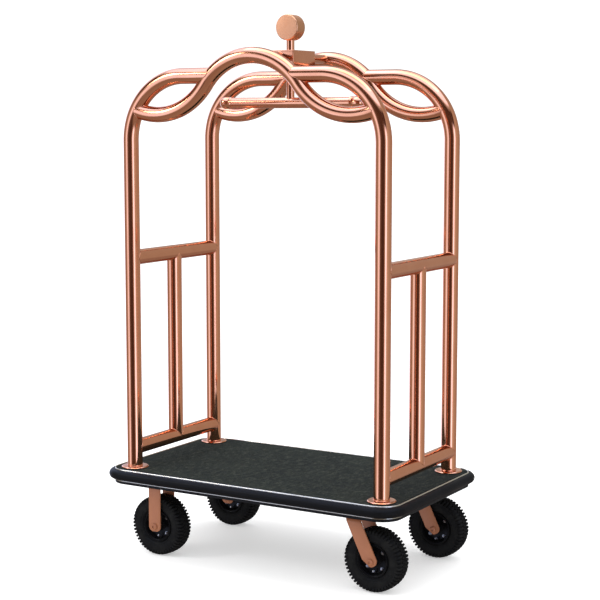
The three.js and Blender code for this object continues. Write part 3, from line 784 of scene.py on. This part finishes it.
def build_underside(pan_under):
    """Stiffeners with bolts, and the washers and nuts that hold the posts' feet."""
    bolts = Shape()
    for side, _ in LEFT_RIGHT:
        low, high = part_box(f"pan_stiffener_{side}")
        centre = (low[X] + high[X]) / 2
        half, depth = (high[X] - low[X]) / 2, high[Z] - low[Z]
        web, roof = half - SHEET, depth - SHEET
        section = rounded([(-half, 0), (-web, 0), (-web, roof), (web, roof), (web, 0), (half, 0),
                           (half, depth), (-half, depth)], 0.8 * MM, 3, closed=True)
        rings = [np.column_stack([centre + section[:, 0], np.full(len(section), y), low[Z] + section[:, 1]])
                 for y in np.linspace(low[Y], high[Y], 9)]
        piece(f"stiffener_channel_{side}", loft(rings), "black_steel", replaces=f"pan_stiffener_{side}")
        for y in (low[Y] + 30 * MM, 0, high[Y] - 30 * MM):
            bolts.merge(hex_bolt((centre, y, high[Z] - SHEET), DOWN, 15, 5, (9, 1.4)))
    for name in CORNERS:
        sx, sy = side_of(name)
        foot = (sx * POST_X, sy * POST_Y, pan_under)
        bolts.merge(hex_bolt(foot, DOWN, 21, 8, (17, 2), (6, 2)))
    piece("underside_bolts", bolts, "zinc_nut")
    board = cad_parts["deck_board"]
    board.data.materials.clear()
    board.data.materials.append(MATERIALS["plywood"])


# ---- Casters ----
def fork_shape(at_x, at_y, crown_top, trail):
    """One steel strip bent over the wheel, its legs running down to the axle, with rounded edges."""
    bend_r, end_r, bevel = 14 * MM, 18 * MM, 1.3 * MM
    top = np.array([6 * MM if trail else 0.0, crown_top])
    axle = np.array([trail, WHEEL_R])
    down = (axle - top) / np.linalg.norm(axle - top)
    across = np.array([-down[1], down[0]])
    leg_top = crown_top - bend_r

    def at(side, along):
        return axle + across * side + down * along

    def level(side):
        return at(side, 0) + down * ((leg_top - at(side, 0)[1]) / down[1])

    def round_end(sign):
        return np.array([at(sign * (LEG_HALF - end_r + end_r * math.cos(a)), end_r * math.sin(a) - MM)
                         for a in np.linspace(0, math.pi / 2 - 0.03, 12)])

    front = np.concatenate([straight(level(LEG_HALF), round_end(1)[0], 4)[:-1], round_end(1)])
    if trail:
        corner, heel, toe = at(-LEG_HALF, -16 * MM), at(-7 * MM, 16 * MM), at(4 * MM, 17 * MM)
        rear = np.concatenate([straight(level(-LEG_HALF), corner, 3), straight(corner, heel, 4)[1:]])
        rear = np.concatenate([rounded(rear, 2 * MM, 3), [toe]])
    else:
        rear = np.concatenate([straight(level(-LEG_HALF), round_end(-1)[0], 4)[:-1], round_end(-1)])
    rows = max(len(front), len(rear))
    front, rear = resampled(front, rows), resampled(rear, rows)
    layers = bevel_steps(bevel, FORK_STRIP)
    rear_layers = [inset(rear, side, closed=False) for _, side in layers]
    front_layers = [inset(front, -side, closed=False) for _, side in layers]
    slope = down[0] / down[1]
    stretch = math.hypot(1, slope)
    rings = []

    def ring(rear_points, front_points, where):
        loop = [where(point, depth) for point, (depth, _) in zip(rear_points, layers)]
        loop += [where(point, depth) for point, (depth, _) in reversed(list(zip(front_points, layers)))]
        rings.append(loop)

    def leg(sign, order):
        for i in order:
            ring([line[i] for line in rear_layers], [line[i] for line in front_layers],
                 lambda point, depth: (at_x + point[0], at_y + sign * (FORK_HALF_WIDTH - depth), point[1]))

    def bend(sign, order):
        for angle in order:
            lift, out = math.sin(angle), math.cos(angle)
            shift = slope * bend_r * lift
            rear_row = [(rear[0][0] + shift + side * stretch, 0) for _, side in layers]
            front_row = [(front[0][0] + shift - side * stretch, 0) for _, side in layers]
            ring(rear_row, front_row, lambda point, depth: (
                at_x + point[0], at_y + sign * (FORK_HALF_WIDTH - bend_r + (bend_r - depth) * out),
                leg_top + (bend_r - depth) * lift))

    turns = np.linspace(0, math.pi / 2, 9)[1:]
    leg(-1, range(rows - 1, -1, -1))
    bend(-1, turns)
    bend(1, turns[::-1])
    leg(1, range(rows))
    return loft(rings)


def smooth_line(points, steps):
    """A Catmull-Rom curve through the points."""
    points = np.asarray(points, float)
    padded = np.concatenate([[2 * points[0] - points[1]], points, [2 * points[-1] - points[-2]]])
    line = []
    for a, b, c, d in zip(padded, padded[1:], padded[2:], padded[3:]):
        for t in np.linspace(0, 1, steps, endpoint=False):
            line.append(0.5 * (2 * b + (c - a) * t + (2 * a - 5 * b + 4 * c - d) * t ** 2
                               + (3 * b - a - 3 * c + d) * t ** 3))
    line.append(points[-1])
    return np.array(line)


LUG_COUNT = 50
CARCASS_R = WHEEL_R - 3.8 * MM
# Tyre and rim outlines: (radius, distance from the wheel's middle), in millimetres.
TYRE_HALF = ((48, 22.9), (54, 23), (57, 25.6), (59, 28.6), (62, 30.6), (64.5, 30.4), (66, 31.9), (74, 32.6),
             (82, 32), (88.5, 29.5), (92.6, 23.5), (95.2, 13), (CARCASS_R / MM, 0))
BEAD_SEAT = ((48, -12), (48, 0), (48, 12))
LUG_OUTLINE = ((91.5, 14), (89, 22), (84.5, 27.5), (83.5, 31.4), (88, 33.2), (92.5, 33.2), (95.6, 31.2),
               (98.4, 24), (99.4, 16), (97.5, 14.2))
RIM_HALF = ((6.3, 35.4), (12.6, 35.4), (13.2, 33.5), (13.2, 14), (16, 9.5), (20, 7.6), (33, 7.2), (40, 8.5),
            (43.5, 13), (44.5, 21), (47, 25.5), (50.5, 27.2), (53.2, 26.2), (53.4, 24), (51, 23.2),
            (47.4, 22.6))
# Rows of tread blocks: (distance from the middle, stagger as a share of the pitch, length), in millimetres.
BLOCK_ROWS = ((0.0, 0.25, 7.6), (-8.6, 0.5, 7.2), (8.6, 0.0, 7.2))
BLOCK_WIDTH = 7.0 * MM


def wheel_directions(angle):
    """Outwards and forwards at an angle round a wheel."""
    cosine, sine = math.cos(angle), math.sin(angle)
    return np.array([cosine, 0, sine]), np.array([-sine, 0, cosine])


def tyre_shape(centre):
    """A carcass with a moulded rib on each side, rows of tread blocks on it and lugs along its shoulders."""
    outer = smooth_line(mm(TYRE_HALF), 4)
    outer = np.concatenate([outer, outer[-2::-1] * np.array([1, -1])])
    shape = turned(np.concatenate([outer, mm(BEAD_SEAT)]), centre, BACK, 96)
    pitch = TAU / LUG_COUNT
    for i in range(LUG_COUNT):
        for side, stagger in ((-1, 0.0), (1, 0.5)):
            lug(shape, centre, (i + stagger) * pitch, side)
        for y, stagger, length in BLOCK_ROWS:
            radial, forward = wheel_directions((i + stagger) * pitch)
            lean = 0.05 * np.sign(y)
            out = radial * math.cos(lean) + np.array(BACK) * math.sin(lean)
            base = np.array(centre) + radial * (CARCASS_R - abs(y) * 0.05 * MM) + np.array([0, y * MM, 0])
            block(shape, base, forward, out, length * MM)
    return shape


def lug(shape, centre, angle, side):
    """One shoulder lug: a ridge from the tread down onto the sidewall, narrower at its crest."""
    outline = mm(LUG_OUTLINE)
    heart = outline.mean(axis=0)
    half_width = np.interp(outline[:, 0], [83 * MM, 99 * MM], [4.2 * MM, 2.9 * MM])
    radial, forward = wheel_directions(angle)
    rings = []
    for share, shrink in ((-1.0, 0.90), (-0.82, 1.0), (0.82, 1.0), (1.0, 0.90)):
        ring = heart + (outline - heart) * shrink
        rings.append([np.array(centre) + radial * r + np.array([0, side * y, 0]) + forward * share * w
                      for (r, y), w in zip(ring, half_width)])
    shape.merge(loft(rings))


def block(shape, base, forward, out, length):
    """One tread block, sunk a little into the carcass, its top edges rounded off."""
    height = WHEEL_R - CARCASS_R
    half_length, half_width = forward * length / 2, np.cross(out, forward) * BLOCK_WIDTH / 2
    rings = []
    for rise, grow in ((-1.5 * MM, 1.06), (0.3 * height, 1.0), (0.82 * height, 0.92), (height, 0.78)):
        rings.append([base + out * rise + grow * (a * half_length + b * half_width)
                      for a, b in ((-1, -1), (1, -1), (1, 1), (-1, 1))])
    shape.merge(loft(rings))


def rim_shape(centre):
    """Two dished steel halves back to back, a hub tube through them and a rolled edge at each bead."""
    outer = rounded(mm(RIM_HALF), 1.6 * MM, 4)
    return turned(np.concatenate([outer, outer[::-1] * np.array([1, -1])]), centre, BACK, 96)


RIM_BOLTS = 4
BOLT_CIRCLE_R = 36 * MM
FIRST_BOLT_ANGLE = math.radians(43)
RIM_FACE = 7.2 * MM                # from the wheel's middle to the face under the bolts
VALVE_ANGLE = math.radians(-88)
VALVE_STEM = ((0, -4), (3.4, -4), (3.1, 6), (2.5, 8), (2.5, 9), (3.9, 9.4), (3.9, 14.5), (2.6, 15.5),
              (0, 15.5))


def build_wheel(name):
    centre = middle(f"rim_{name}")
    body = f"wheel_{name}"
    piece(f"tyre_treaded_{name}", tyre_shape(centre), "tyre_rubber", body, f"tyre_{name}", 50)
    piece(f"rim_dished_{name}", rim_shape(centre), "rim_black", body, f"rim_{name}")

    bolts = Shape()
    face = Vector((0, RIM_FACE, 0))
    for k in range(RIM_BOLTS):
        outward = Vector(wheel_directions(FIRST_BOLT_ANGLE + k * TAU / RIM_BOLTS)[0])
        spot = centre + outward * BOLT_CIRCLE_R
        bolts.merge(hex_bolt(spot - face, FORWARD, 10, 4.4, (5.8, 1.2)))
        bolts.merge(hex_bolt(spot + face, BACK, 10, 5, (5.8, 1.2), (3, 2.5)))
    piece(f"rim_bolts_{name}", bolts, "zinc_nut", body)

    covers = Shape()
    for side in (-1, 1):
        cover = rounded(mm([(6.6, 0), (19, 0), (19, 3), (15, 5), (13.6, 9), (6.6, 9)]), MM, 3, closed=True)
        covers.merge(turned(cover, centre + Vector((0, side * 9 * MM, 0)), (0, side, 0), 48))
    piece(f"bearing_covers_{name}", covers, "rim_black", body)

    outward = Vector(wheel_directions(VALVE_ANGLE)[0])
    foot = centre + outward * 40 * MM - Vector((0, 9 * MM, 0))
    lean = (Vector(FORWARD) - outward * 0.55).normalized()
    piece(f"valve_{name}", turned(mm(VALVE_STEM), foot, lean, 20), "zinc_nut", body)


def build_axle(name, body):
    """Axle bolt with a low round head at the front side, and a nut on a washer at the rear side."""
    centre = middle(f"rim_{name}")
    face = Vector((0, FORK_HALF_WIDTH, 0))
    low, high = span(f"axle_bolt_{name}", Y)
    shank_r = 6 * MM
    head = centre[Y] - low - FORK_HALF_WIDTH
    end = centre[Y] - high - FORK_HALF_WIDTH
    profile = rounded([
        (0, 0.55 * head), (4.2 * MM, 0.55 * head), (4.8 * MM, head), (8 * MM, 0.94 * head),
        (10.8 * MM, 0.5 * head), (11 * MM, 0), (shank_r, 0), (shank_r, end + MM), (shank_r - MM, end),
        (0, end)], 0.5 * MM, 3)
    bolt = turned(profile, centre - face, FORWARD, 48)
    piece(f"axle_{name}", bolt, "fork_steel", body, f"axle_bolt_{name}")
    washer = (12.5, 1.6)
    nut_height = (span(f"axle_nut_{name}", Y)[1] - centre[Y] - FORK_HALF_WIDTH) / MM - washer[1]
    nut = hex_bolt(centre + face, BACK, 21.5, nut_height, washer)
    piece(f"lock_nut_{name}", nut, "zinc_nut", body, f"axle_nut_{name}")


def build_caster(name):
    swivels = name in SWIVELLING
    body = f"swivel_{name}" if swivels else ROOT
    low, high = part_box(f"caster_plate_{name}")
    centre = (low + high) / 2
    half = (high - low) / 2
    outline = rectangle(half[X], half[Y], 7 * MM, (centre[X], centre[Y]))
    piece(f"mounting_plate_{name}", plate(outline, low[Z], high[Z], 0.9 * MM), "fork_steel",
          replaces=f"caster_plate_{name}")
    bolts = Shape()
    for sx in (-1, 1):
        for sy in (-1, 1):
            spot = (centre[X] + sx * 45 * MM, centre[Y] + sy * 39 * MM, low[Z])
            bolts.merge(hex_bolt(spot, DOWN, 13.5, 5, (8, 1.2)))
    piece(f"plate_bolts_{name}", bolts, "zinc_nut")

    crown_top = span(f"fork_{name}", Z)[1]
    trail = SWIVEL_TRAIL if swivels else 0.0
    fork = fork_shape(centre[X], centre[Y], crown_top, trail)
    piece(f"fork_strip_{name}", fork, "fork_steel", body, f"fork_{name}")
    if swivels:
        build_race(name, centre, crown_top)
    build_wheel(name)
    build_axle(name, body)


# Rim of the two raceway pressings: (inwards from the widest part, above the fork's crown), in millimetres.
RACE_RIM = ((5, 0.2), (1, 2.2), (0, 4.4), (1.6, 5.6), (1.6, 6.4), (0, 7.6), (2, 10.5))


def build_race(name, centre, crown_top):
    """Upper and lower raceway pressings with the kingpin's nut under the crown."""
    high = span(f"swivel_race_{name}", Z)[1]
    outer = half_width(f"swivel_race_{name}", Y)
    rim = [(outer - inwards * MM, crown_top + rise * MM) for inwards, rise in RACE_RIM]
    pressing = rounded([(0, rim[0][1]), *rim, (outer - 6 * MM, high), (0, high)], 0.9 * MM, 3)
    piece(f"raceway_{name}", turned(pressing, (centre[X], centre[Y], 0), UP, 72), "fork_steel",
          replaces=f"swivel_race_{name}")
    nut = hex_bolt((centre[X], centre[Y], crown_top - FORK_STRIP), DOWN, 19, 7.5, (11.5, 1.5))
    piece(f"kingpin_nut_{name}", nut, "zinc_nut")


# ---- Studio ----
def build_floor():
    reach = 400.0
    mesh = bpy.data.meshes.new("floor")
    mesh.from_pydata([(-reach, -reach, 0), (reach, -reach, 0), (reach, reach, 0), (-reach, reach, 0)],
                     [], [(0, 1, 2, 3)])
    floor = add_object("floor", mesh)
    pale = Finish("floor_pale", (0.86, 0.86, 0.86), 0.75, Specular_IOR_Level=0.1,
                  Emission_Color=(1, 1, 1, 1), Emission_Strength=0.4)
    mesh.materials.append(pale.material)
    floor.visible_glossy = False     # polished metal reflects the studio's walls below the horizon too


def soft_light(name, at, towards, size, power):
    light = bpy.data.lights.new(name, "AREA")
    light.shape = "RECTANGLE"
    light.size, light.size_y = size
    light.energy = power
    lamp = add_object(name, light)
    lamp.location = at
    lamp.rotation_euler = (Vector(towards) - Vector(at)).to_track_quat("-Z", "Y").to_euler()
    lamp.visible_camera = False


CAMERA_AT = (2.6235, -4.3515, 1.461)
CAMERA_AZIMUTH, CAMERA_PITCH = math.radians(30.74), math.radians(6.83)
# Brightness of the studio's walls as polished metal sees them, by degrees from the camera's side,
# anticlockwise from above.
SIDE_GLOW = (
    (-180, 0.40), (-158, 1.20), (-138, 1.10), (-125, 0.34), (-98, 0.34), (-80, 0.76), (-69, 1.40),
    (-57, 1.10), (-46, 0.16), (-14, 0.07), (8, 0.10), (20, 0.60), (28, 2.00), (38, 1.90), (48, 0.72),
    (75, 0.52), (105, 0.43), (125, 0.44), (150, 0.44), (170, 0.60), (180, 0.40))
# The same above and below those walls, by the sine of the height.
HEIGHT_GLOW = ((-1.0, 0.36), (-0.60, 0.32), (-0.34, 0.34), (0.22, 0.10), (0.54, 0.07), (0.63, 0.45),
               (0.72, 1.65), (0.88, 1.65), (0.95, 1.00), (1.0, 0.80))
WALL_BOTTOM, WALL_TOP_FRONT, WALL_TOP_BEHIND = -0.34, 0.26, 0.82
DARK_TINT = (1.0, 0.62, 0.52)
BRIGHT_TINT = (1.0, 1.22, 1.95)
BRIGHTEST = BRIGHT_TINT[2] * max(glow for _, glow in SIDE_GLOW + HEIGHT_GLOW)


def glow_ramp(node, share, levels):
    """A colour ramp of brightness levels, the dark ones warm and the bright ones cool."""
    ramp = node("ValToRGB", {0: share})
    ramp.color_ramp.interpolation = "EASE"
    stops = ramp.color_ramp.elements
    while len(stops) < len(levels):
        stops.new(0.5)
    for stop, (position, glow) in zip(stops, levels):
        warmth = min(1.0, max(0.0, (0.45 - glow) / 0.35))
        cool = min(1.0, max(0.0, (glow - 0.6) / 0.9))
        stop.position = position
        stop.color = [glow / BRIGHTEST * (1 + warmth * (dark - 1) + cool * (bright - 1))
                      for dark, bright in zip(DARK_TINT, BRIGHT_TINT)] + [1]
    return ramp.outputs[0]


def build_world():
    """Even white light for matt surfaces. Reflections see soft boxes all round, with dark gaps between."""
    world = bpy.data.worlds.new("studio")
    world.use_nodes = True
    tree = world.node_tree
    tree.nodes.clear()

    node = partial(add_node, tree)
    math_node = partial(combined, node)
    between = partial(ranged, node)
    direction = node("SeparateXYZ", {0: node("TexCoord").outputs["Generated"]})
    azimuth = math_node("ARCTAN2", direction.outputs["Y"], direction.outputs["X"])
    turns = math_node("DIVIDE", math_node("SUBTRACT", azimuth, CAMERA_AZIMUTH - math.pi / 2), TAU)
    share = math_node("FLOORED_MODULO", math_node("ADD", turns, 0.5), 1.0)
    sides = glow_ramp(node, share, [(degrees / 360 + 0.5, glow) for degrees, glow in SIDE_GLOW])
    height = direction.outputs["Z"]
    rise = between(height, (-1.0, 1.0))
    layers = glow_ramp(node, rise, [(sine / 2 + 0.5, glow) for sine, glow in HEIGHT_GLOW])
    soften = 0.06
    wall_top = between(direction.outputs["Y"], (-0.1, 0.3), WALL_TOP_FRONT, WALL_TOP_BEHIND)
    rise_past = math_node("SUBTRACT", height, wall_top)
    above = between(rise_past, (-soften, soften))
    below = between(height, (WALL_BOTTOM + soften, WALL_BOTTOM - soften))
    beyond = math_node("ADD", above, below)
    whole = node("Mix", {0: beyond, 6: sides, 7: layers}, data_type="RGBA")
    reflected = node("Background", {"Color": whole.outputs[2], "Strength": BRIGHTEST})
    even = node("Background", {"Color": (1.0, 1.0, 1.0, 1), "Strength": 1.2})
    mirrored = node("LightPath").outputs["Is Glossy Ray"]
    mixed = node("MixShader", {0: mirrored, 1: even.outputs[0], 2: reflected.outputs[0]})
    node("OutputWorld", {0: mixed.outputs[0]})
    bpy.context.scene.world = world


def build_studio():
    build_floor()
    build_world()
    soft_light("overhead", (0.0, 0.0, 4.2), (0, 0, 0), (3.6, 1.6), 40)
    soft_light("key", (-3.6, -3.4, 3.6), (0, 0, 0.6), (1.4, 1.4), 60)
    bpy.context.scene.view_settings.view_transform = "Standard"


def build_camera():
    data = bpy.data.cameras.new("camera")
    data.sensor_width = 36.0
    data.lens = 93.62
    data.clip_end = 1000.0
    camera = add_object("camera", data)
    camera.location = CAMERA_AT
    camera.rotation_euler = (math.pi / 2 - CAMERA_PITCH, 0, CAMERA_AZIMUTH)
    bpy.context.scene.camera = camera


make_materials()
build_camera()
build_studio()
build_birdcage()
build_crown()
build_deck()
for corner_name in CORNERS:
    build_caster(corner_name)
